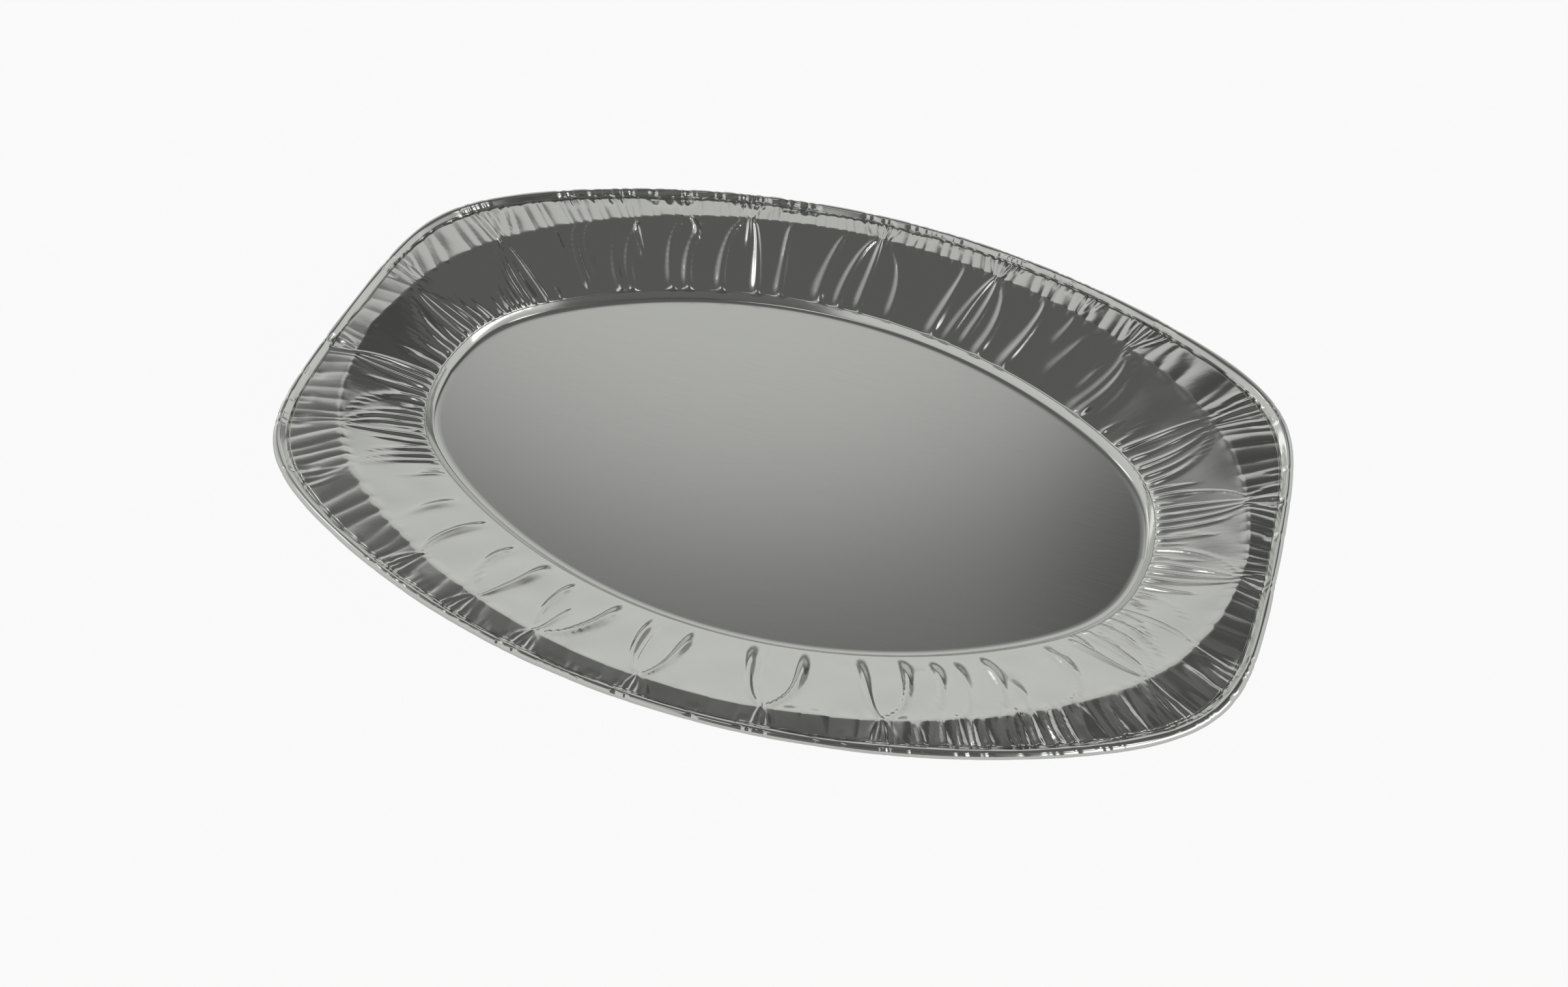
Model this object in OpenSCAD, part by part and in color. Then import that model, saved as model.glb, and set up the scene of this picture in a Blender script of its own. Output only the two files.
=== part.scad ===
// Foil serving platter: one sheet of aluminium foil, pressed into a long shallow dish in one stroke.
//
// From the middle outwards the sheet is a flat base panel, a low steep wall, a wide flange that slopes up to
// a crease, a narrow lip, and a rim that is rolled over and under. The metal that the press could not take
// up lies in gathers. They draw together at pinches on the crease and fan out on both sides of it.
//
// The origin is under the middle of the base panel, X runs along the platter and Z is up. Sizes are in mm.

/* [Platter] */
// Length over the rolled rim
rim_length = 434; // [360:1:500]
// Width over the rolled rim
rim_width = 286; // [250:1:330]
// Height from the table to the top of the rolled rim
height = 24; // [16:0.5:34]
// Thickness of the foil
foil_gauge = 0.1; // [0.08:0.01:0.2]

/* [Outline] */
// Width of the rim's straight ends, between the points where they would meet the long sides
rim_end_width = 160; // [110:2:200]
// The same width on the crease, which is rounder than the rim
crease_end_width = 96; // [60:2:130]
// The same width on the oval where the wide flange meets the wall
oval_end_width = 67; // [40:1:90]
// How tight the rim's corners are
rim_corner = 14; // [8:1:24]
// How tight the corners of the crease and of the oval are
dish_corner = 12; // [6:1:24]

/* [Dish] */
// Height of the wall round the base panel
wall_height = 4.3; // [2.5:0.1:7]
// Slope of that wall in degrees from level
wall_angle = 62; // [45:1:80]
// Radius of the bend where the base panel turns up into the wall
foot_radius = 2.6; // [1:0.1:4]
// Width of the sloping flange, seen from above
flange_width = 35; // [20:1:50]
// Width of the lip between the crease and the rolled rim
lip_width = 8.4; // [5:0.2:14]
// How far the lip droops from the crease to the rolled rim
lip_droop = 0.4; // [0:0.1:1.2]

/* [Rolled rim] */
// Width of the roll beyond the lip
roll_width = 4.4; // [3:0.1:7]
// Height of the roll above the edge of the lip
roll_rise = 3.1; // [2:0.1:5]
// Height of the roll's section from top to bottom
roll_depth = 4.3; // [3:0.1:6]
// How far the roll's inner side leans outwards
roll_lean = 1; // [0.4:0.1:1.4]

/* [Gathers] */
// Number of gathers round the platter
gathers = 140; // [80:2:142]
// Depth of a full gather from its ridge to its furrow
gather_depth = 1.2; // [0.4:0.1:1.6]
// How strongly the gathers draw together at a pinch: 1 would bring them to a point
pinch_pull = 0.78; // [0.3:0.01:0.85]
// How far a gather pushes the crease in or out
scallop = 0.5; // [0:0.1:0.9]

/* [Hidden] */
foil_colour = [0.76, 0.77, 0.75];

// Pinches on the crease: [place in degrees round the platter, half the spread of the fan, strength].
// The places follow an ellipse's own angle, which starts at +X and turns towards +Y.
pinches = [
    [12, 12, 1], [29, 9, 1], [48, 8, 0.8], [62, 5, 0.4], [70, 7, 0.8], [87, 8, 0.8], [106, 8, 0.8],
    [115, 5, 0.5], [126, 5, 0.4], [133, 5, 0.4], [147, 9, 1], [166, 11, 1], [187, 11, 1], [206, 10, 1],
    [216, 6, 0.6], [236, 5, 0.4], [246, 7, 0.6], [255, 6, 0.6], [268, 8, 0.7], [283, 7, 0.7],
    [296, 7, 0.7], [305, 4, 0.4], [313, 4, 0.4], [330, 8, 0.9], [340, 7, 0.9], [355, 12, 1]
];
// Share of the full gather that is left halfway between two pinches
calm = 0.12;

// Rings on the wide flange, from the oval to the crease: [share of the flange's width, share of the full
// gather there, share of the pinches' pull there]. The last one is the crease.
flange_steps = [[0.2, 0.5, 0.08], [0.52, 1, 0.35], [0.84, 0.7, 0.8], [1, 0.35, 1]];
// The same two shares where the lip meets the roll
lip_gather = 0.3;
lip_pull = 0.25;

// Half length and half width of each ring, and the height of each
rim_half = [rim_length / 2, rim_width / 2];
lip_half = rim_half - [roll_width, roll_width];
crease_half = lip_half - [lip_width, lip_width];
oval_half = crease_half - [flange_width, flange_width];
lip_z = height - roll_rise;
crease_z = lip_z + lip_droop;
flange_rise = crease_z - wall_height;

// The wall: a bend at its foot, then a straight slope up to the oval. Heights are those of the upper face.
wall_rise = wall_height - foil_gauge;
bend_radius = min(foot_radius, 0.8 * wall_rise / (1 - cos(wall_angle)));
bend_rise = bend_radius * (1 - cos(wall_angle));
bend_run = bend_radius * sin(wall_angle);
wall_run = bend_run + (wall_rise - bend_rise) / tan(wall_angle);

// The roll: a rounded box section. It starts at the inner top corner, runs over the top and down the outside,
// and turns back underneath. The turns are degrees about the section's middle, and a squareness of 1 would
// make the section an ellipse.
roll_half_w = (roll_width - roll_lean) / 2;
roll_half_h = roll_depth / 2;
roll_turns = [150, 118, 90, 45, 0, -45, -100];
roll_squareness = 0.8;

// A ring has two long arcs for its sides and a straight line at each end. Its reach is the distance from the
// middle to the ring in one direction: a power mean of the arc's reach and the line's, which rounds the
// corners between them.
function side_radius(half, end_half) =
    (half.x * half.x + pow(half.y - end_half, 2)) / (2 * (half.y - end_half));

function reach(turn, half, end_half, corner) =
    let (radius = side_radius(half, end_half),
         drop = radius - half.y,
         side = sqrt(radius * radius - pow(drop * cos(turn), 2)) - drop * abs(sin(turn)),
         end_share = abs(cos(turn)) / half.x)
    pow(pow(1 / side, corner) + pow(end_share, corner), -1 / corner);

function ring_point(place, half, end_half, corner) =
    let (turn = atan2(half.y * sin(place), half.x * cos(place)))
    reach(turn, half, end_half, corner) * [cos(turn), sin(turn)];

// Half size and half end width of a ring on the flange, a given share of the way from the oval to the crease
function flange_half(share) = oval_half + share * [flange_width, flange_width];
function flange_end(share) = (oval_end_width + share * (crease_end_width - oval_end_width)) / 2;

// Signed distance in degrees from a pinch, and the bell curve over the pinch's spread
function from_pinch(place, pinch) = (place - pinch[0] + 540) % 360 - 180;
function bell(place, pinch) = exp(-pow(from_pinch(place, pinch) / pinch[1], 2));

function sum(values, i = 0) = i < len(values) ? values[i] + sum(values, i + 1) : 0;
function strength(place) = min(1, calm + sum([for (p = pinches) p[2] * bell(place, p)]));
function drawn_in(place, pull) =
    place - pull * sum([for (p = pinches) p[2] * from_pinch(place, p) * bell(place, p)]);

// One station is one line across the sheet, from the base panel to the edge under the roll. Ridges and
// furrows of the gathers take turns from one station to the next, so a whole number of gathers closes the ring.
stations = 2 * round(gathers);
function ridge(i) = i % 2 == 0 ? 1 : -1;
function place_of(i) = 360 * i / stations;

// Points of the base panel's edge, the bend, the wall and its top, moved in from the oval
function wall_point(i, inset, rise) =
    let (half = oval_half - [inset, inset],
         p = ring_point(place_of(i), half, oval_end_width / 2 - inset, dish_corner))
    [p.x, p.y, foil_gauge + rise];

// Points of the wide flange and the crease: gathers lift and lower them, and the pinches draw them in
function flange_point(i, share, gather, pull) =
    let (place = drawn_in(place_of(i), pinch_pull * pull),
         swell = ridge(i) * strength(place_of(i)),
         p = ring_point(place, flange_half(share), flange_end(share), dish_corner),
         push = 1 + (share == 1 ? scallop * swell / norm(p) : 0))
    [p.x * push, p.y * push, wall_height + share * flange_rise + gather * gather_depth / 2 * swell];

// Points of the lip's outer edge and of the roll: the rim's own outline, moved in
function rim_point(i, inset, z, pull = 0) =
    let (half = rim_half - [inset, inset],
         place = drawn_in(place_of(i), pinch_pull * pull),
         p = ring_point(place, half, rim_end_width / 2 - inset, rim_corner))
    [p.x, p.y, z];

function lip_point(i) =
    let (swell = ridge(i) * strength(place_of(i)))
    rim_point(i, roll_width, lip_z + lip_gather * gather_depth / 2 * swell, lip_pull);

function squared(value) = sign(value) * pow(abs(value), roll_squareness);
function roll_point(i, turn) =
    rim_point(i, roll_half_w * (1 - squared(cos(turn))), height + roll_half_h * (squared(sin(turn)) - 1));

// One station's line, from the base panel's edge to the foil's edge under the roll
bend_turns = [0, wall_angle / 2, wall_angle];
function station_line(i) = concat(
    [for (turn = bend_turns)
        wall_point(i, wall_run - bend_radius * sin(turn), bend_radius * (1 - cos(turn)))],
    [wall_point(i, 0, wall_rise)],
    [for (step = flange_steps) flange_point(i, step[0], step[1], step[2])],
    [lip_point(i)],
    [for (turn = roll_turns) roll_point(i, turn)]);

lines = [for (i = [0 : stations - 1]) station_line(i)];
ring_count = len(lines[0]);

// The wall and the roll are smooth, so their rings have a point on every second station only
first_gathered = len(bend_turns) + 1;
last_gathered = first_gathered + len(flange_steps);
function station_step(ring) = ring < first_gathered || ring > last_gathered ? 2 : 1;

// The other face of the foil lies one gauge below the first, measured square to the section
function other_face(i, ring) =
    let (line = lines[i],
         here = line[ring],
         step = line[min(ring + 1, ring_count - 1)] - line[max(ring - 1, 0)],
         rim = rim_point(i, 0, 0),
         out = rim / norm(rim),
         along = ring == 0 ? 1 : step * out,
         up = ring == 0 ? 0 : step.z)
    here + foil_gauge / norm([along, up]) * [up * out.x, up * out.y, -along];

function ring_points(ring, face) =
    [for (i = [0 : station_step(ring) : stations - 1]) face == 0 ? lines[i][ring] : other_face(i, ring)];

rings = [for (face = [0, 1]) for (ring = [0 : ring_count - 1]) ring_points(ring, face)];
function ring_start(n) = n == 0 ? 0 : ring_start(n - 1) + len(rings[n - 1]);
starts = [for (n = [0 : len(rings) - 1]) ring_start(n)];

// Triangles between two rings. Where one ring has twice as many points, three triangles fill each step.
function corner_of(n, k) = starts[n] + k % len(rings[n]);
function flip(triangle) = [triangle[2], triangle[1], triangle[0]];

function even_band(a, b) = [for (k = [0 : len(rings[a]) - 1]) each [
    [corner_of(a, k), corner_of(b, k), corner_of(b, k + 1)],
    [corner_of(a, k), corner_of(b, k + 1), corner_of(a, k + 1)]]];

function widening_band(a, b) = [for (k = [0 : len(rings[a]) - 1]) each [
    [corner_of(a, k), corner_of(b, 2 * k), corner_of(b, 2 * k + 1)],
    [corner_of(a, k), corner_of(b, 2 * k + 1), corner_of(a, k + 1)],
    [corner_of(a, k + 1), corner_of(b, 2 * k + 1), corner_of(b, 2 * k + 2)]]];

function band(a, b) =
    len(rings[a]) == len(rings[b]) ? even_band(a, b)
    : len(rings[a]) < len(rings[b]) ? widening_band(a, b)
    : [for (t = widening_band(b, a)) flip(t)];

// OpenSCAD wants each face clockwise as seen from outside
upper = [for (r = [0 : ring_count - 2]) each [for (t = band(r, r + 1)) flip(t)]];
lower = [for (r = [0 : ring_count - 2]) each band(ring_count + r, ring_count + r + 1)];
foil_edge = [for (t = band(ring_count - 1, 2 * ring_count - 1)) flip(t)];
panel_top = [[for (k = [len(rings[0]) - 1 : -1 : 0]) corner_of(0, k)]];
panel_bottom = [[for (k = [0 : len(rings[0]) - 1]) corner_of(ring_count, k)]];

module platter() {
    color(foil_colour)
        polyhedron(points = [for (ring = rings) each ring],
                   faces = concat(upper, lower, foil_edge, panel_top, panel_bottom),
                   convexity = 8);
}

platter();
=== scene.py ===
import bpy
import numpy as np
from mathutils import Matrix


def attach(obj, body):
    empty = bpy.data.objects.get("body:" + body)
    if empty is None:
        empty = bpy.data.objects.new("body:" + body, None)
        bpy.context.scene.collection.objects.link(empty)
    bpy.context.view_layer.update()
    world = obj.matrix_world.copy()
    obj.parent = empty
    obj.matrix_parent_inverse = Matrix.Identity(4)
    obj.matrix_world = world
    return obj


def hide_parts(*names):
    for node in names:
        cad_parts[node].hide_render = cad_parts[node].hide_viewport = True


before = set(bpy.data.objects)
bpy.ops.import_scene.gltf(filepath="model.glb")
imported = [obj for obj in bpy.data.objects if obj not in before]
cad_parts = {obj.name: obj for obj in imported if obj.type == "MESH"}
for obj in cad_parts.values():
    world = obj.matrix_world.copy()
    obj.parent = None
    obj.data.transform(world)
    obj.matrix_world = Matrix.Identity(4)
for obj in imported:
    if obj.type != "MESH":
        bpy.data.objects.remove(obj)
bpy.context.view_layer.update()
scene = bpy.context.scene
scene.view_settings.view_transform = "Standard"

# Camera
# A wide lens, 0.6 m from the platter, looks down on it from the near right.
camera_data = bpy.data.cameras.new("camera")
camera_data.sensor_width = 36.0
camera_data.lens = 31.395
camera_data.clip_start = 0.01
camera = bpy.data.objects.new("camera", camera_data)
camera.location = (0.15598, -0.34748, 0.47963)
camera.rotation_euler = np.radians((36.894, 2.3105, 20.5388))
scene.collection.objects.link(camera)
scene.camera = camera

# Platter
# The real one is a single sheet of aluminium foil, 0.1 mm thick, pressed cold into a long shallow dish.
# The press cannot take up all the metal round the flange, so it lies in folds, and the edge is rolled under.
# It is made here as three meshes that meet on its two sharp folds: the oval edge and the foot of the roll.
# All sizes are in mm. Places are degrees round the platter, from +X towards +Y. A share counts across the
# sheet: 0 at the oval where the flange starts, 1 on the crease, 2 where the lip meets the rolled rim.
GAUGE = 0.1
STATIONS = 1800
RIM = ((216.8, 142.8), 79.3, 14.3, (0.0, 0.0))
CREASE = ((205.3, 129.6), 46.5, 10.6, (1.6, -1.7))
OVAL = ((168.8, 93.9), 31.6, 14.6, (1.0, -0.6))
OVAL_HEIGHT = 4.3
CREASE_HEIGHT = 21.3
LIP_HEIGHT = 20.9
WALL_SLOPE = np.radians(62)
FOOT_RADIUS = 2.2
rng = np.random.default_rng(7)

# Where folds draw together on the crease: place, half the spread of the drawn-in metal, strength
PINCHES = np.array([
    (12.3, 9, 1.0), (30.0, 8, 1.0), (48.9, 6, 0.9), (58.1, 3, 0.5), (63.1, 3, 0.5), (70.8, 4, 1.0),
    (87.9, 5, 1.0), (106.5, 4, 0.8), (115.8, 3, 0.7), (124.5, 3, 0.7), (132.0, 3, 0.4), (146.7, 7, 1.0),
    (165.8, 8, 1.0), (187.4, 9, 0.9), (205.8, 9, 1.0), (215.6, 4, 0.8), (236.0, 4, 0.7), (246.0, 4, 0.8),
    (254.8, 4, 0.9), (268.1, 4, 1.0), (282.1, 4, 1.0), (295.4, 4, 1.0), (304.4, 3, 0.6), (312.2, 3, 0.6),
    (317.8, 3, 0.5), (329.3, 6, 1.0), (338.6, 6, 1.0), (355.3, 8, 1.0),
])

# Shares of the rows across the flange and the lip, then the section of the rolled rim: distance in from the
# edge and height
FLANGE_ROWS = np.array([0.0, 0.02, 0.06, 0.11, 0.17, 0.24, 0.32, 0.4, 0.48, 0.56, 0.64, 0.72, 0.79, 0.85, 0.9,
                        0.94, 0.97, 1.0, 1.04, 1.1, 1.2, 1.35, 1.5, 1.65, 1.8, 1.92, 2.0])
ROLL_SECTION = np.array([
    (4.22, 21.2), (3.84, 21.8), (3.42, 22.5), (3.06, 23.1), (2.8, 23.5), (2.55, 23.75),
    (2.25, 23.9), (1.9, 23.95), (1.45, 23.85), (0.98, 23.52), (0.48, 22.95), (0.16, 22.3), (0.02, 21.6),
    (0.12, 20.9), (0.5, 20.3), (1.1, 19.95), (1.8, 19.8),
])


def outline(place, ring, inset=0.0):
    """Points of a ring at these places, in radians, moved in by the inset.

    A ring is its half length and half width, the half width of its straight ends, the sharpness of its
    corners, and its middle. The reach in one direction is a power mean of two reaches: that of a long arc,
    which makes a side, and that of the straight end.
    """
    (half_x, half_y), end, corner, middle = ring
    half_x, half_y, end = half_x - inset, half_y - inset, end - inset
    turn = np.arctan2(half_y * np.sin(place), half_x * np.cos(place))
    radius = (half_x**2 + (half_y - end) ** 2) / (2 * (half_y - end))
    drop = radius - half_y
    side = np.sqrt(radius**2 - (drop * np.cos(turn)) ** 2) - drop * np.abs(np.sin(turn))
    reach = (side**-corner + (np.abs(np.cos(turn)) / half_x) ** corner) ** (-1 / corner)
    return np.stack([middle[0] + reach * np.cos(turn), middle[1] + reach * np.sin(turn)], -1)


def apart(place, centre):
    """Signed difference of two places in degrees, between -180 and 180."""
    return (place - centre + 180) % 360 - 180


def drawn_in(place, pull):
    """Places moved towards the pinches: each pinch pulls by its strength times a bell curve of the gap."""
    moved = place.copy()
    for centre, spread, strength in PINCHES:
        gap = apart(place, centre)
        moved -= pull * strength * gap * np.exp(-((gap / spread) ** 2))
    return moved


# Lobes of the lip between two gathers: first and last place, pitch in degrees, swell, lean in degrees
LOBES = (
    (0, 13, 1.6, 0.6, -0.6), (13, 29, 1.8, 0.55, 0.5), (29, 38, 1.5, 0.8, 1.0), (38, 47, 2.0, 0.65, 2.2),
    (47, 56, 1.4, 1.2, 1.2), (56, 69, 1.4, 1.3, 0.8), (69, 90, 1.3, 1.3, 0.3), (90, 108, 1.3, 1.3, 0.1),
    (108, 140, 1.35, 1.3, -0.2), (140, 162, 2.2, 1.1, -2.2), (162, 186, 3.2, 0.3, 0.4),
    (186, 206, 2.3, 0.4, 0.5), (206, 236, 2.6, 0.7, 1.8), (236, 256, 2.4, 0.45, 1.0),
    (256, 281, 2.6, 0.35, 0.6), (281, 294, 2.0, 0.6, 0.3), (294, 319, 1.35, 1.1, -0.9),
    (319, 330, 1.7, 0.6, -1.4), (330, 344, 2.6, 0.3, -0.8), (344, 360, 2.0, 0.5, 0.2),
)
valleys, swell, lean = [], [], []
for first, last, pitch, height, slant in LOBES:
    count = int(round((last - first) / pitch))
    for k in range(count):
        valleys.append(first + (last - first) * (k + rng.uniform(-0.36, 0.36)) / count)
        swell.append(height * rng.uniform(0.4, 1.25))
        lean.append(slant * rng.uniform(0.6, 1.3))
valleys, swell, lean = np.array(valleys), np.array(swell), np.array(lean)


def lobe(place, share):
    """How far the lip puffs out between two gathers, from 0 to 1, its swell, and the lobe's width in degrees.

    With t from -1 at one gather to 1 at the next, the lobe is 1 - |t| to the power 2.2. The gathers lean:
    they move along with the share, and cross their own place at the share 1.2.
    """
    slant = np.interp(place, valleys, lean, period=360)
    spot = (place - slant * (share - 1.2)) % 360
    edges = np.concatenate([valleys, [valleys[0] + 360]])
    spot = np.where(spot < edges[0], spot + 360, spot)
    index = np.clip(np.searchsorted(edges, spot, side="right") - 1, 0, len(valleys) - 1)
    wide = edges[index + 1] - edges[index]
    t = 2 * (spot - edges[index]) / wide - 1
    return 1 - np.abs(t) ** 2.2, swell[index], wide


def smooth_sheet(places):
    """The pressed sheet without folds, as rows of points, with each point's place and share.

    Rows run from halfway out on the base panel to the edge under the roll, and columns go once round. The
    flange is a straight slope and the lip a slight droop, joined by a soft minimum of the two. The crease is
    scalloped: each lobe of the lip pushes it in by up to 0.3 mm, and each gather lets it out by as much.
    """
    rows, place_rows, share_rows = [], [], []

    def add(points, heights, place, share):
        rows.append(np.column_stack([points, np.broadcast_to(heights, len(points))]))
        place_rows.append(place)
        share_rows.append(np.full(len(place), share))

    wall = OVAL_HEIGHT - GAUGE
    bend_rise = FOOT_RADIUS * (1 - np.cos(WALL_SLOPE))
    bend_run = FOOT_RADIUS * np.sin(WALL_SLOPE)
    wall_run = bend_run + (wall - bend_rise) / np.tan(WALL_SLOPE)
    round_place = np.radians(places)
    foot = outline(round_place, OVAL, wall_run)
    for size in (0.5, 0.9, 0.988, 1.0):
        add(foot * size, GAUGE, places, -1.0 + 0.5 * size)
    for turn in WALL_SLOPE * np.array([0.33, 0.66, 1.0]):
        add(outline(round_place, OVAL, wall_run - FOOT_RADIUS * np.sin(turn)),
            GAUGE + FOOT_RADIUS * (1 - np.cos(turn)), places, -0.3)
    for left in (0.55, 0.15):
        add(outline(round_place, OVAL, left), OVAL_HEIGHT - left * np.tan(WALL_SLOPE), places, -0.1)

    for share in FLANGE_ROWS:
        pull = 0.8 * share**2.2 if share < 1 else 0.8 - 0.35 * (share - 1)
        place = drawn_in(places, pull)
        turn = np.radians(place)
        inner = outline(turn, OVAL)
        crease = outline(turn, CREASE)
        lip = outline(turn, RIM, 4.4)
        if share <= 1:
            points = inner + share * (crease - inner)
        else:
            points = crease + (share - 1) * (lip - crease)
        puff, height, degrees = lobe(places, share)
        push = 0.6 * np.tanh(0.45 * degrees * height) * (puff - 0.5) * np.exp(-(((share - 1) / 0.07) ** 2))
        outward = (crease - inner) / np.linalg.norm(crease - inner, axis=1, keepdims=True)
        points = points - push[:, None] * outward
        slope = OVAL_HEIGHT + share * (CREASE_HEIGHT - OVAL_HEIGHT)
        droop = CREASE_HEIGHT + (share - 1) * (LIP_HEIGHT - CREASE_HEIGHT)
        soft = 0.12
        height = -soft * np.logaddexp(-slope / soft, -droop / soft)
        add(points, height, place, share)

    for step, (inset, height) in enumerate(ROLL_SECTION):
        place = drawn_in(places, 0.45)
        add(outline(np.radians(place), RIM, inset), height, place, 2.0 + (step + 1) / len(ROLL_SECTION))
    return np.array(rows), np.array(place_rows), np.array(share_rows)


places = 360 * np.arange(STATIONS) / STATIONS
sheet, place_at, share_at = smooth_sheet(places)


def square_to(points):
    """Unit normals of a grid that closes in the second direction: the cross product of its two steps."""
    step_out = np.gradient(points, axis=0)
    step_round = np.roll(points, -1, axis=1) - np.roll(points, 1, axis=1)
    normal = np.cross(step_out, step_round)
    return normal / np.maximum(np.linalg.norm(normal, axis=2, keepdims=True), 1e-9)


def degree_length(points, place):
    """Millimetres for one degree of place at each point of the grid."""
    step = np.linalg.norm(np.roll(points, -1, axis=1) - np.roll(points, 1, axis=1), axis=2)
    turn = apart(np.roll(place, -1, axis=1), np.roll(place, 1, axis=1))
    return step / np.maximum(np.abs(turn), 1e-6)


mm_per_degree = degree_length(sheet, place_at)
lift = np.zeros(place_at.shape)


def fold(near, far, wide, steep=0.55, narrow=0.8, bow=0.6, blunt=0.07, skew=0.0, sharpen=0.0):
    """Adds one fold to the lift. near and far are (place, share) of its wide end and of its pinched end.

    Its line leaves the pinched end quickly and then runs straight: the sideways distance goes with
    (1 - u*u) to the power of bow, where u is 0 at the wide end and 1 at the pinch. Across the line the height
    is a bell curve, steep times its width at the ridge. The width shrinks from wide to narrow with u to the
    power 1.3, and is larger on one flank and smaller on the other by the share skew. The height grows towards
    the pinch by the share sharpen. It comes up over the share blunt of the length, centred on the wide end,
    and dies away just past the pinch.
    """
    past, fade = 1.03, 0.08
    span = far[1] - near[1]
    u = (share_at - near[1]) / span
    inside = np.clip(u, 0, 1)
    centre = far[0] + apart(near[0], far[0]) * (1 - inside**2) ** bow
    width = wide + (narrow - wide) * inside**1.3
    gap = apart(place_at, centre) * mm_per_degree
    rise = np.clip((u + blunt / 2) / blunt, 0, 1) * np.clip((past - u) / fade, 0, 1)
    rise = rise * rise * (3 - 2 * rise) * (1 + sharpen * inside**3)
    flank = width * np.where(gap > 0, 1 + skew, 1 - skew)
    lift[...] += steep * width * rise * np.exp(-((gap / flank) ** 2))


# Ribs on the flange at the two ends: wide end (place, share), pinched end (place, share), steepness. Those
# between -35 and -16 degrees are steeper than the rest. Short low ribs and furrows lie between them.
RIBS = [
    ((32.2, 0.02), (31.6, 0.91), 0.7), ((29.2, 0.02), (30.3, 0.9), 0.7), ((26.7, 0.02), (29.8, 0.9), 0.75),
    ((24.1, 0.02), (29.7, 0.92), 0.8), ((21.8, 0.02), (29.2, 0.92), 0.8), ((19.5, 0.01), (18.7, 0.52), 0.7),
    ((17.7, 0.03), (13.6, 0.98), 0.8), ((15.5, 0.03), (15.1, 0.18), 0.6), ((13.8, 0.02), (12.9, 0.95), 0.8),
    ((12.0, 0.02), (12.3, 0.97), 0.7), ((9.8, 0.01), (12.1, 0.97), 0.8), ((7.7, 0.02), (9.9, 0.8), 0.8),
    ((4.9, 0.03), (5.6, 0.6), 0.8), ((3.3, 0.02), (3.2, 0.30), 0.6), ((1.8, 0.02), (-4.6, 0.97), 0.8),
    ((-0.6, 0.02), (-1.2, 0.19), 0.6), ((-3.2, 0.03), (-5.0, 0.96), 0.8),
    ((-5.4, 0.02), (-5.1, 0.95), 0.75), ((-7.8, 0.02), (-5.8, 0.91), 0.8),
    ((-10.3, 0.03), (-10.1, 0.6), 0.8), ((-15.2, 0.02), (-15.7, 0.17), 0.7),
    ((-12.7, 0.05), (-17.4, 0.70), 0.6), ((-19.0, 0.04), (-21.1, 0.93), 0.9),
    ((-20.2, 0.02), (-24.3, 0.6), 0.8), ((-22.8, 0.02), (-26.8, 0.83), 0.9),
    ((-25.2, 0.04), (-30.5, 0.96), 0.9), ((-28.7, 0.05), (-30.7, 0.96), 0.9),
    ((-31.1, 0.06), (-31.4, 0.25), 0.8), ((-32.2, 0.12), (-31.1, 0.95), 0.7),
    ((33.9, 0.04), (35.9, 0.41), 0.8), ((37.7, 0.04), (38.2, 0.22), 0.7),
    ((142.4, 0.03), (141.3, 0.38), 0.7), ((145.2, 0.03), (145.9, 0.91), 0.9),
    ((147.7, 0.02), (146.0, 0.91), 0.9), ((148.9, 0.05), (146.3, 0.92), 0.9),
    ((150.0, 0.03), (146.4, 0.93), 0.95), ((151.2, 0.04), (146.6, 0.93), 0.95),
    ((152.4, 0.03), (146.7, 0.93), 1.0), ((153.7, 0.03), (147.0, 0.92), 1.0),
    ((155.9, 0.01), (155.4, 0.28), 0.9), ((159.1, 0.0), (160.4, 0.40), 0.8),
    ((161.3, 0.01), (164.7, 0.55), 0.8), ((163.4, 0.02), (165.6, 0.7), 0.8),
    ((164.9, 0.03), (166.6, 0.86), 0.8), ((166.9, 0.03), (166.7, 0.88), 0.8),
    ((168.8, 0.04), (166.8, 0.88), 0.8), ((171.3, 0.02), (168.5, 0.46), 0.7),
    ((173.2, 0.03), (167.0, 0.86), 0.8), ((175.2, 0.04), (170.7, 0.64), 0.7),
    ((177.9, 0.04), (175.3, 0.56), 0.8), ((181.6, 0.04), (180.0, 0.56), 0.8),
    ((185.2, 0.03), (187.6, 1.0), 0.8), ((187.3, 0.05), (188.0, 0.94), 0.7),
    ((189.4, 0.04), (188.6, 0.94), 0.8), ((191.9, 0.03), (192.6, 0.72), 0.8),
    ((194.2, 0.03), (204.5, 0.90), 0.8), ((197.0, 0.01), (200.7, 0.28), 0.7),
    ((198.9, 0.02), (205.2, 0.9), 0.7), ((200.8, 0.02), (205.6, 0.92), 0.8),
    ((202.7, 0.02), (205.9, 0.92), 0.8), ((204.4, 0.03), (205.4, 0.19), 0.6),
    ((206.2, 0.03), (206.2, 0.90), 0.8), ((208.3, 0.03), (208.0, 0.64), 0.6),
    ((210.3, 0.03), (212.6, 0.78), 0.8), ((212.0, 0.04), (215.4, 1.0), 0.8),
    ((213.8, 0.05), (215.8, 1.0), 0.8), ((217.7, 0.07), (218.4, 0.56), 0.4),
]
for near, far, steep in RIBS:
    steep = steep * rng.uniform(0.85, 1.1) * (1.35 if -35 < near[0] < -16 else 1.0)
    fold(near, far, rng.uniform(0.95, 1.4), steep, rng.uniform(0.35, 0.55), rng.uniform(0.5, 0.75), 0.12)
for place in np.concatenate([rng.uniform(-30, 36, 34), rng.uniform(142, 218, 40)]):
    start = rng.uniform(0.0, 0.3)
    fold((place, start), (place + rng.uniform(-1, 1), start + rng.uniform(0.12, 0.35)), rng.uniform(0.5, 0.9),
         steep=rng.choice([-0.35, 0.4]), narrow=0.3, bow=0.7, blunt=0.3)

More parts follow.
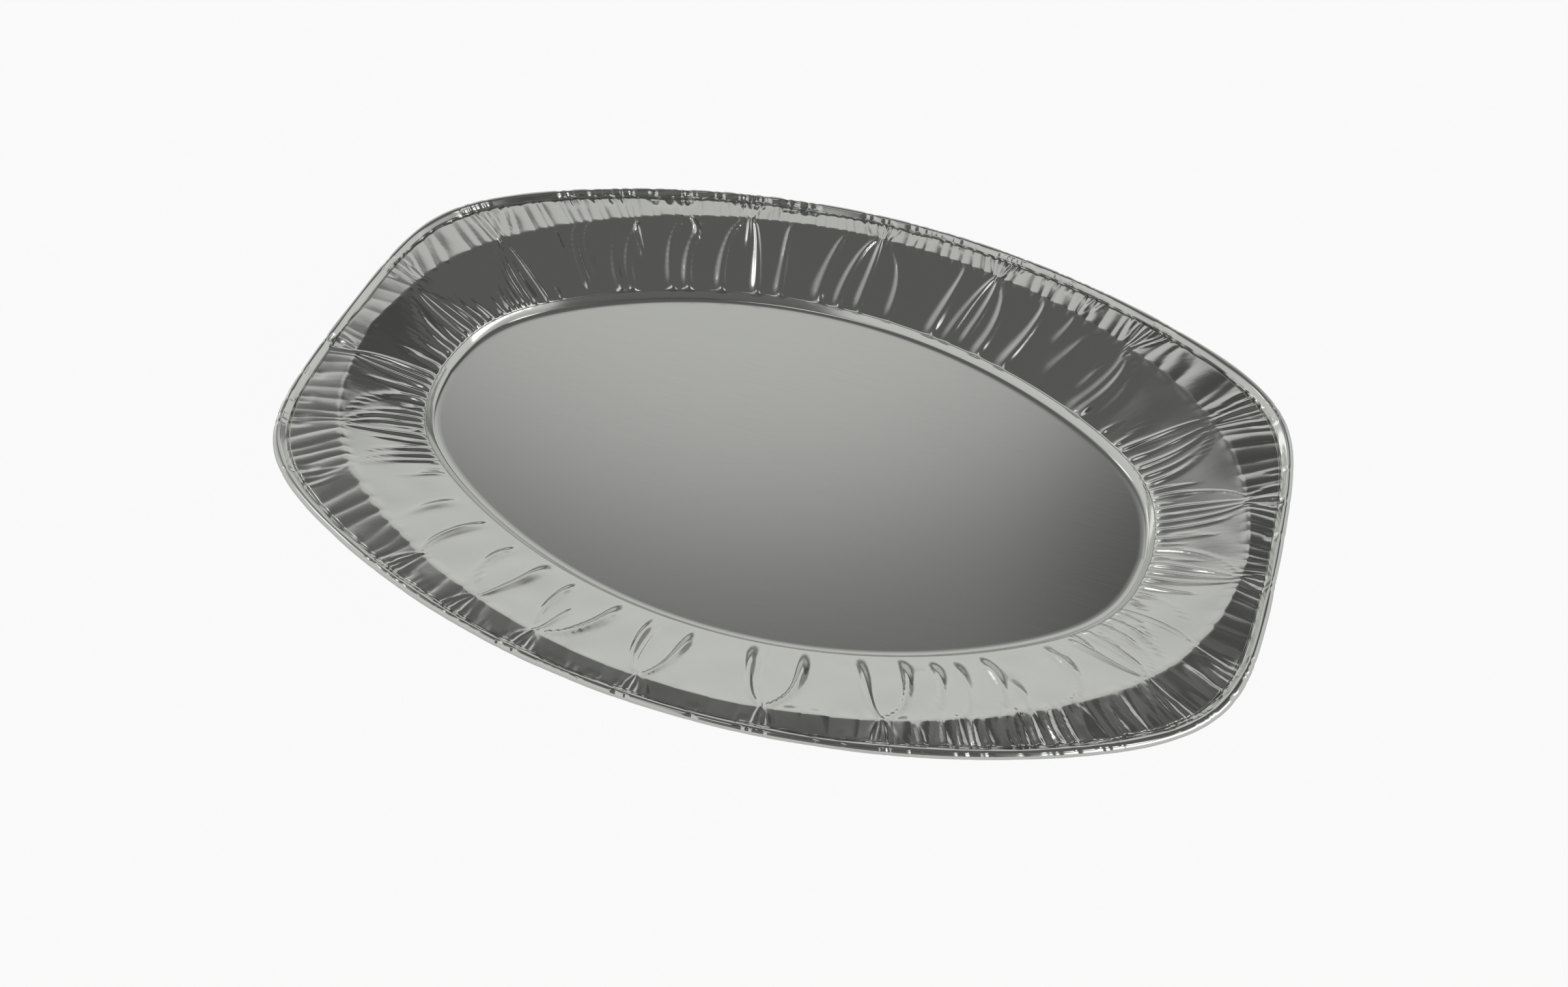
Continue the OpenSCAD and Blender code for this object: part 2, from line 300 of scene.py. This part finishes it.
# Single folds on the flange's long sides: wide end (place, share), narrow end (place, share), depth, width.
# Those of the far side, +Y, are wide and sharpen towards the pinch. Those of the near side come up slowly.
SINGLES = [
    ((43.8, 0.05), (48.9, 0.95), 0.5, 1.5), ((45.8, 0.05), (48.9, 0.93), 0.3, 1.0),
    ((41.6, 0.2), (48.6, 0.93), 0.25, 1.4), ((48.1, 0.3), (49.4, 0.64), 0.3, 0.8),
    ((54.1, 0.3), (54.5, 0.8), 0.3, 1.2), ((57.2, 0.6), (58.1, 0.98), 0.35, 1.2),
    ((61.0, 0.05), (63.1, 0.98), 0.5, 1.4), ((65.9, 0.03), (70.6, 0.97), 0.5, 1.3),
    ((69.2, 0.1), (70.7, 0.97), 0.45, 1.0), ((71.9, 0.04), (71.0, 0.98), 0.42, 1.3),
    ((74.8, 0.04), (75.4, 0.97), 0.5, 1.4), ((82.4, 0.06), (87.4, 0.98), 0.42, 1.2),
    ((87.7, 0.06), (87.9, 0.99), 0.5, 1.2), ((91.1, 0.03), (88.3, 0.99), 0.5, 1.3),
    ((94.4, 0.04), (92.5, 0.97), 0.45, 1.7), ((101.1, 0.02), (100.6, 0.97), 0.45, 1.3),
    ((105.0, 0.02), (106.2, 0.98), 0.5, 1.3), ((106.8, 0.6), (106.7, 0.98), 0.5, 0.8),
    ((111.2, 0.02), (107.2, 0.98), 0.45, 1.4), ((117.1, 0.02), (112.0, 0.95), 0.45, 1.4),
    ((114.5, 0.7), (115.4, 0.98), 0.5, 0.9), ((120.0, 0.02), (116.2, 0.97), 0.42, 1.3),
    ((124.2, 0.5), (123.7, 0.95), 0.5, 1.0), ((127.6, 0.02), (121.8, 0.95), 0.42, 1.4),
    ((129.8, 0.03), (125.4, 0.93), 0.42, 1.3), ((133.7, 0.3), (130.7, 0.98), 0.42, 0.9),
    ((135.8, 0.1), (133.2, 0.97), 0.45, 1.2), ((137.5, 0.6), (137.0, 0.93), 0.3, 0.9),
    ((225.8, 0.04), (230.0, 0.97), 0.2, 1.8), ((232.7, 0.04), (236.0, 0.99), 0.55, 1.4),
    ((240.1, 0.05), (245.6, 0.85), 0.5, 1.3), ((246.7, 0.05), (246.2, 0.98), 0.32, 1.5),
    ((252.1, 0.06), (254.6, 0.9), 0.42, 1.3), ((259.8, 0.06), (254.9, 0.98), 0.4, 1.8),
    ((255.3, 0.4), (254.9, 0.98), 0.4, 0.8), ((265.0, 0.12), (267.9, 0.97), 0.45, 1.2),
    ((266.6, 0.12), (268.1, 0.97), 0.25, 1.0), ((270.8, 0.1), (268.3, 0.98), 0.5, 1.3),
    ((279.4, 0.1), (281.9, 0.97), 0.42, 1.3), ((281.5, 0.1), (282.1, 0.97), 0.25, 1.0),
    ((286.3, 0.08), (282.4, 0.98), 0.55, 1.4), ((294.1, 0.07), (295.2, 0.98), 0.42, 1.3),
    ((300.0, 0.08), (295.6, 0.98), 0.55, 1.3), ((304.4, 0.06), (301.6, 0.85), 0.45, 1.3),
    ((307.7, 0.08), (304.4, 0.99), 0.3, 1.4), ((312.1, 0.04), (309.6, 0.9), 0.5, 1.4),
    ((313.6, 0.5), (312.2, 0.99), 0.3, 1.0), ((322.9, 0.05), (317.5, 0.99), 0.5, 1.3),
    ((323.8, 0.04), (323.2, 0.3), -0.3, 0.8),
]
for near, far, depth, wide in SINGLES:
    place, share = near
    if 30 < place < 150:
        steep = 1.05 * depth * (1.2 if place > 98 else 1.0)
        fold((place, share + 0.01), far, 2.1 * wide, steep, narrow=0.9, blunt=0.3, skew=0.2, sharpen=0.9)
    else:
        fold((place, max(share, 0.1) + 0.13), far, 1.5 * wide, 1.8 * depth, narrow=0.7, blunt=0.5, skew=0.15)

# Folds that fan out over the lip from a pinch: place, first and last place at the roll, number, steepness
FANS = [
    (329.3, 324.7, 328.2, 5, 0.5), (338.6, 335.5, 338.0, 3, 0.5), (295.4, 294.0, 296.6, 4, 0.5),
    (282.1, 281.9, 283.6, 3, 0.5), (268.1, 267.6, 270.4, 4, 0.5), (254.8, 253.4, 257.0, 4, 0.5),
    (246.0, 244.6, 247.9, 4, 0.5), (236.0, 234.6, 237.2, 3, 0.5), (215.6, 216.4, 219.0, 3, 0.5),
    (187.4, 184.5, 188.0, 4, 0.45), (165.8, 161.5, 164.5, 3, 0.4), (146.7, 140.8, 146.2, 7, 0.5),
    (87.9, 86.0, 90.4, 5, 0.6), (70.8, 69.2, 73.0, 5, 0.6), (48.9, 47.2, 52.0, 6, 0.6),
    (106.7, 105.4, 108.6, 4, 0.6), (58.1, 56.6, 60.4, 4, 0.5), (30.0, 31.8, 34.6, 3, 0.6),
    (12.4, 11.0, 16.0, 3, 0.5), (355.4, 353.6, 356.3, 3, 0.45),
]
for pinch, first, last, count, steep in FANS:
    for k in range(count):
        end = first + (last - first) * (k + rng.uniform(-0.2, 0.2)) / (count - 1)
        fold((end, 2.02), (pinch, 0.98), 0.9, steep * rng.uniform(0.8, 1.1), narrow=0.45, bow=0.8)

# Narrow folds on the lip, near the right-hand corner of the near side: end at the roll, end at the crease
NARROW = [
    ((299.4, 2.0), (299.0, 1.1)), ((301.8, 2.0), (302.4, 1.05)), ((303.5, 2.0), (303.9, 0.97)),
    ((304.9, 2.0), (305.9, 1.03)), ((306.4, 2.0), (307.2, 1.02)), ((308.3, 2.0), (309.6, 1.02)),
    ((309.4, 2.0), (311.4, 0.95)), ((310.1, 2.0), (312.0, 1.1)), ((311.4, 2.0), (313.0, 1.06)),
    ((313.4, 2.0), (314.7, 1.03)), ((315.0, 2.0), (316.2, 1.05)), ((316.8, 2.0), (318.7, 1.15)),
    ((320.6, 2.0), (321.9, 1.2)), ((322.7, 2.0), (324.0, 1.1)), ((333.6, 2.0), (334.4, 1.3)),
]
for near, far in NARROW:
    fold(near, far, rng.uniform(1.1, 1.6), rng.uniform(0.6, 0.85), narrow=0.9, bow=0.7, blunt=0.1)

# The lobes of the lip: each swells with its width, by 0.6 mm at most, and dies away just inside the crease
puff, height, degrees = lobe(np.broadcast_to(places, share_at.shape), share_at)
on_lip = np.clip((share_at - 0.93) / 0.12, 0, 1) * np.clip((2.06 - share_at) / 0.1, 0, 1)
drawn = np.gradient(np.unwrap(np.radians(place_at), axis=1), axis=1)
lobe_mm = degrees * mm_per_degree * drawn / np.radians(360 / STATIONS)
lift += 0.6 * np.tanh(0.22 * lobe_mm * height) * puff * on_lip


# Wider crimps of the rim, single and in pairs: their places on the two long sides
WIDE_CRIMPS = (
    131.9, 133.0, 129.0, 123.3, 120.3, 115.4, 110.8, 111.9, 107.6, 108.6, 100.7, 101.8, 97.8, 98.9, 90.8,
    89.8, 84.6, 83.5, 247.7, 250.6, 253.6, 255.6, 258.8, 259.8, 260.8, 261.8, 267.7, 268.7, 275.8, 280.7,
    283.2, 288.2, 291.0,
)


def crimp(place, depth, width, dents):
    """Sinks the lift at one place by a row of dents: share of the middle, reach in shares, part of the depth.

    Each dent is a bell curve of the distance round the rim times a bell curve along the section.
    """
    gap = apart(place_at, place) * mm_per_degree
    for middle, reach, part in dents:
        lift[...] -= part * depth * np.exp(-((gap / width) ** 2) - ((share_at - middle) / reach) ** 2)


def crimps():
    """Small sharp crimps on the fold between the lip and the roll, and on over the roll.

    They stand in groups at each pinch, 0.62 degrees or about 2 mm apart, with more groups and single ones
    between. Each dents both sides of the fold, less on the fold itself, and some go on over the roll.
    """
    pitch = 0.62
    centres = []
    groups = [(place, int(rng.integers(3, 7))) for place, _, _ in PINCHES]
    groups += [(place, int(rng.integers(2, 6))) for place in rng.uniform(60, 145, 15)]
    groups += [(place, int(rng.integers(1, 4))) for place in rng.uniform(180, 380, 22)]
    for place, count in groups:
        for k in range(count):
            centres.append((place + pitch * (k - count / 2 + rng.uniform(-0.2, 0.2)), rng.uniform(0.3, 0.5)))
    for place, depth in centres:
        width = rng.uniform(0.85, 1.05)
        over = rng.choice([0.0, 0.4, 0.8])
        crimp(place, depth, width, ((1.82, 0.13, 1.0), (2.2, 0.12, 0.8), (2.62, 0.16, over)))
    for place in WIDE_CRIMPS:
        crimp(place, 0.5, 1.35, ((1.85, 0.12, 0.7), (2.2, 0.13, 1.0), (2.62, 0.16, 0.7)))


crimps()

# Calm waviness of the flange and the lip, and a slow swell of the roll
wave = np.zeros(place_at.shape)
for _ in range(16):
    length = rng.uniform(14, 42)
    way = rng.uniform(0, 2 * np.pi)
    phase = (sheet[..., 0] * np.cos(way) + sheet[..., 1] * np.sin(way)) * 2 * np.pi / length
    wave += 0.0022 * length * np.cos(phase + rng.uniform(0, 2 * np.pi))
over_flange = np.clip(share_at / 0.2, 0, 1) * np.clip((2.6 - share_at) / 0.6, 0.25, 1)
lift += wave * over_flange

# The lift ends at the oval and under the roll. The sheet stays under the rim's height, and its flat base rows
# lie on the table.
top_height = 23.98
base_rows = 4
keep = np.clip((3.05 - share_at) / 0.12, 0, 1) * np.clip((share_at + 0.01) / 0.03, 0, 1)
normals = square_to(sheet)
upper = sheet + normals * (lift * keep)[..., None]
upper[..., 2] = np.minimum(upper[..., 2], top_height)
lower = upper - square_to(upper) * GAUGE
lower[:base_rows, :, 2] = 0.0


def close_sheet(top, bottom, pole):
    """Points and faces of a closed strip of the sheet, and which of its faces are smooth.

    The strip is two grids and a band along the outer edge. Inside, a band closes it too, or with a pole a fan
    of triangles on each grid.
    """
    rows, columns = top.shape[:2]
    points = np.concatenate([top.reshape(-1, 3), bottom.reshape(-1, 3)])
    row, column = np.meshgrid(np.arange(rows - 1), np.arange(columns), indexing="ij")
    after = (column + 1) % columns
    a, b = row * columns + column, (row + 1) * columns + column
    c, d = (row + 1) * columns + after, row * columns + after
    upper_faces = np.stack([a, b, c, d], -1).reshape(-1, 4)
    lower_faces = upper_faces[:, ::-1] + rows * columns
    first = np.arange(columns)
    second = np.roll(first, -1)
    under = rows * columns
    outer, outer_after = first + under - columns, second + under - columns
    bands = [np.stack([outer, outer + under, outer_after + under, outer_after], -1)]
    fans = []
    if pole:
        points = np.concatenate([points, [[0, 0, GAUGE]], [[0, 0, 0]]])
        fans = np.concatenate([
            np.stack([np.full(columns, 2 * under), first, second], -1),
            np.stack([np.full(columns, 2 * under + 1), second + under, first + under], -1)]).tolist()
    else:
        bands.append(np.stack([first, second, second + under, first + under], -1))
    smooth = np.concatenate([np.ones(2 * len(upper_faces), bool), np.zeros(columns * len(bands), bool),
                             np.ones(len(fans), bool)])
    return points, np.concatenate([upper_faces, lower_faces, *bands]).tolist() + fans, smooth


# Distance round the platter and distance across the sheet, in mm, for the crinkle to follow the folds, and
# how far the press has worked the sheet: none on the base panel and the roll, 1 on the flange and the lip
mean_reach = 175.0
round_mm = np.radians(place_at) * mean_reach
steps = np.linalg.norm(np.diff(sheet, axis=0), axis=2)
across_mm = np.concatenate([[np.zeros(STATIONS)], np.cumsum(steps, axis=0)])
along_sheet = np.stack([round_mm, across_mm, np.zeros(place_at.shape)], -1)
worked = np.clip((share_at + 0.02) / 0.1, 0, 1) * np.clip((2.05 - share_at) / 0.2, 0, 1)

# The foil is bright bare metal. The rollers left a fine grain along X, in its gloss and in its relief. Where
# the press has worked it, it has a faint crinkle too.
foil = bpy.data.materials.new("bright_foil")
foil.use_nodes = True
nodes, links = foil.node_tree.nodes, foil.node_tree.links
shader = nodes["Principled BSDF"]
shader.inputs["Metallic"].default_value = 1.0
shader.inputs["Base Color"].default_value = (0.74, 0.75, 0.715, 1)

position = nodes.new("ShaderNodeTexCoord")
stretch = nodes.new("ShaderNodeMapping")
stretch.inputs["Scale"].default_value = (25, 1800, 1800)
links.new(position.outputs["Object"], stretch.inputs["Vector"])
grain = nodes.new("ShaderNodeTexNoise")
grain.inputs["Scale"].default_value = 1.0
grain.inputs["Detail"].default_value = 3.0
links.new(stretch.outputs["Vector"], grain.inputs["Vector"])
dull = nodes.new("ShaderNodeMapRange")
dull.inputs["From Min"].default_value = 0.3
dull.inputs["From Max"].default_value = 0.7
dull.inputs["To Min"].default_value = 0.09
dull.inputs["To Max"].default_value = 0.15
links.new(grain.outputs["Fac"], dull.inputs["Value"])
links.new(dull.outputs["Result"], shader.inputs["Roughness"])
along = nodes.new("ShaderNodeAttribute")
along.attribute_name = "along_sheet"
draw = nodes.new("ShaderNodeMapping")
draw.inputs["Scale"].default_value = (0.3, 0.09, 1)
links.new(along.outputs["Vector"], draw.inputs["Vector"])
crinkle = nodes.new("ShaderNodeTexNoise")
crinkle.inputs["Scale"].default_value = 1.0
crinkle.inputs["Detail"].default_value = 2.5
links.new(draw.outputs["Vector"], crinkle.inputs["Vector"])
worked_at = nodes.new("ShaderNodeAttribute")
worked_at.attribute_name = "worked"
creased = nodes.new("ShaderNodeBump")
creased.inputs["Distance"].default_value = 0.00005
links.new(worked_at.outputs["Fac"], creased.inputs["Strength"])
links.new(crinkle.outputs["Fac"], creased.inputs["Height"])
rolled = nodes.new("ShaderNodeBump")
rolled.inputs["Strength"].default_value = 0.06
rolled.inputs["Distance"].default_value = 0.00002
links.new(grain.outputs["Fac"], rolled.inputs["Height"])
links.new(creased.outputs["Normal"], rolled.inputs["Normal"])
links.new(rolled.outputs["Normal"], shader.inputs["Normal"])

# Three meshes, whose end rows are the same: up to the oval, from there to the foot of the roll, and the roll
oval_row = 9
roll_row = oval_row + len(FLANGE_ROWS) - 1
for name, inner_row, outer_row in (("platter_base", 0, oval_row), ("platter_flange", oval_row, roll_row),
                                   ("platter_rim", roll_row, len(sheet) - 1)):
    part = slice(inner_row, outer_row + 1)
    points, faces, smooth = close_sheet(upper[part], lower[part], inner_row == 0)
    mesh = bpy.data.meshes.new(name)
    mesh.from_pydata((points * 0.001).tolist(), [], faces)
    mesh.polygons.foreach_set("use_smooth", smooth)
    spots, work = along_sheet[part].reshape(-1, 3), worked[part].ravel()
    poles = len(points) - 2 * len(spots)
    attribute = mesh.attributes.new("along_sheet", "FLOAT_VECTOR", "POINT")
    attribute.data.foreach_set("vector", np.concatenate([spots, spots, np.zeros((poles, 3))]).ravel())
    attribute = mesh.attributes.new("worked", "FLOAT", "POINT")
    attribute.data.foreach_set("value", np.concatenate([work, work, np.zeros(poles)]))
    mesh.update()
    mesh.materials.append(foil)
    piece = bpy.data.objects.new(name, mesh)
    scene.collection.objects.link(piece)
    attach(piece, "root")
    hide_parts("platter")

# Floor
# A plain white table that the platter stands on. It glows for the camera's rays, and less for mirrored ones,
# so that the background is white and the platter's shadow stays faint.
floor_mesh = bpy.data.meshes.new("floor")
floor_mesh.from_pydata([(-3, -3, 0), (3, -3, 0), (3, 3, 0), (-3, 3, 0)], [], [(0, 1, 2, 3)])
floor = bpy.data.objects.new("floor", floor_mesh)
floor.location.z = -0.0002
scene.collection.objects.link(floor)
white = bpy.data.materials.new("white_table")
white.use_nodes = True
nodes, links = white.node_tree.nodes, white.node_tree.links
paint = nodes["Principled BSDF"]
paint.inputs["Base Color"].default_value = (0.9, 0.9, 0.9, 1)
paint.inputs["Roughness"].default_value = 0.9
glow = nodes.new("ShaderNodeEmission")
rays = nodes.new("ShaderNodeLightPath")
mirrored = nodes.new("ShaderNodeMath")
mirrored.operation = "MAXIMUM"
links.new(rays.outputs["Is Glossy Ray"], mirrored.inputs[0])
links.new(rays.outputs["Is Transmission Ray"], mirrored.inputs[1])
weaker = nodes.new("ShaderNodeMath")
weaker.operation = "MULTIPLY"
weaker.inputs[1].default_value = 0.4
links.new(mirrored.outputs[0], weaker.inputs[0])
level = nodes.new("ShaderNodeMath")
level.operation = "MULTIPLY_ADD"
level.inputs[1].default_value = 0.93
links.new(rays.outputs["Is Camera Ray"], level.inputs[0])
links.new(weaker.outputs[0], level.inputs[2])
blend = nodes.new("ShaderNodeMixShader")
links.new(level.outputs[0], blend.inputs["Fac"])
links.new(paint.outputs["BSDF"], blend.inputs[1])
links.new(glow.outputs["Emission"], blend.inputs[2])
links.new(blend.outputs["Shader"], nodes["Material Output"].inputs["Surface"])
floor_mesh.materials.append(white)

# Studio
# The world's brightness goes by direction: pale walls all round, one behind that reaches higher, and a dark
# ceiling. A corner, a doorway and the camera's stand are darker. A window and a spot on the left, a spot on
# the right, a lamp overhead and one soft area lamp give the folds their bright points.
world = bpy.data.worlds.new("studio")
scene.world = world
world.use_nodes = True
nodes, links = world.node_tree.nodes, world.node_tree.links
background = nodes["Background"]
ray_direction = nodes.new("ShaderNodeTexCoord")


def facing(direction, levels):
    """Brightness by how far a ray turns from one direction: a colour ramp over the cosine, from -1 to 1."""
    cosine = nodes.new("ShaderNodeVectorMath")
    cosine.operation = "DOT_PRODUCT"
    cosine.inputs[1].default_value = direction
    links.new(ray_direction.outputs["Generated"], cosine.inputs[0])
    spread = nodes.new("ShaderNodeMapRange")
    spread.inputs["From Min"].default_value = -1.0
    spread.inputs["From Max"].default_value = 1.0
    links.new(cosine.outputs["Value"], spread.inputs["Value"])
    ramp = nodes.new("ShaderNodeValToRGB")
    elements = ramp.color_ramp.elements
    for cosine_value, level in levels[1:-1]:
        elements.new((cosine_value + 1) / 2).color = (level, level, level, 1)
    elements[0].position = (levels[0][0] + 1) / 2
    elements[0].color = (levels[0][1],) * 3 + (1,)
    elements[len(elements) - 1].position = (levels[-1][0] + 1) / 2
    elements[len(elements) - 1].color = (levels[-1][1],) * 3 + (1,)
    links.new(spread.outputs["Result"], ramp.inputs["Fac"])
    return ramp.outputs["Color"]


def combine(kind, first, second):
    """One colour from two, by a plain MixRGB kind such as lighten or multiply."""
    mix = nodes.new("ShaderNodeMix")
    mix.data_type = "RGBA"
    mix.blend_type = kind
    mix.inputs["Factor"].default_value = 1.0
    links.new(first, mix.inputs["A"])
    links.new(second, mix.inputs["B"])
    return mix.outputs["Result"]


wall_behind = facing((-0.328, 0.772, 0.545), (
    (0.65, 0.12), (0.8, 0.145), (0.88, 0.17), (0.896, 0.195), (0.912, 0.24), (0.925, 0.305), (0.936, 0.385),
    (0.948, 0.465), (0.96, 0.52), (0.97, 0.56), (1.0, 0.58)))
side_walls = facing((0, 0, 1), (
    (-1.0, 0.74), (0.0, 0.7), (0.45, 0.6), (0.58, 0.44), (0.65, 0.25), (0.7, 0.15), (0.78, 0.11)))
left_window = facing((-0.93, 0.34, 0.14), ((0.975, 0.0), (0.99, 1.2)))
left_spot = facing((-0.79, -0.21, 0.57), ((0.986, 0.0), (0.995, 2.0)))
right_spot = facing((0.54, -0.455, 0.71), ((0.986, 0.0), (0.996, 1.5)))
doorway = facing((0.32, 0.935, 0.15), ((0.972, 1.0), (0.99, 0.4)))
overhead_lamp = facing((-0.177, -0.659, 0.731), ((0.987, 0.0), (0.995, 0.8)))
left_wall = facing((-0.996, 0.087, 0), (
    (0.45, 0.11), (0.56, 0.17), (0.65, 0.26), (0.72, 0.36), (0.8, 0.44), (0.9, 0.5), (1.0, 0.58)))
dark_corner = facing((0.206, 0.566, 0.799), ((0.959, 1.0), (0.983, 0.55)))
stand_sides = facing((0.985, 0.174, 0), ((-0.4, 1.0), (-0.34, 0.22), (0.3, 0.22), (0.36, 1.0)))
stand_back = facing((0, 1, 0), ((-0.78, 0.0), (-0.62, 1.0)))
light = combine("LIGHTEN", combine("LIGHTEN", wall_behind, side_walls), left_wall)
light = combine("MULTIPLY", combine("MULTIPLY", light, dark_corner), doorway)
light = combine("MULTIPLY", light, combine("LIGHTEN", stand_sides, stand_back))
for glint in (left_window, left_spot, right_spot, overhead_lamp):
    light = combine("LIGHTEN", light, glint)
rays = nodes.new("ShaderNodeLightPath")
choose = nodes.new("ShaderNodeMix")
choose.data_type = "RGBA"
choose.inputs["B"].default_value = (1, 1, 1, 1)
links.new(light, choose.inputs["A"])
links.new(rays.outputs["Is Camera Ray"], choose.inputs["Factor"])
links.new(choose.outputs["Result"], background.inputs["Color"])

lamp_data = bpy.data.lights.new("soft_lamp", "AREA")
lamp_data.shape = "RECTANGLE"
lamp_data.size = 1.6
lamp_data.size_y = 0.35
lamp_data.energy = 2.4
lamp = bpy.data.objects.new("soft_lamp", lamp_data)
lamp.location = (1.24, -0.51, 0.52)
lamp.rotation_euler = (np.radians(71), 0, np.radians(68))
scene.collection.objects.link(lamp)
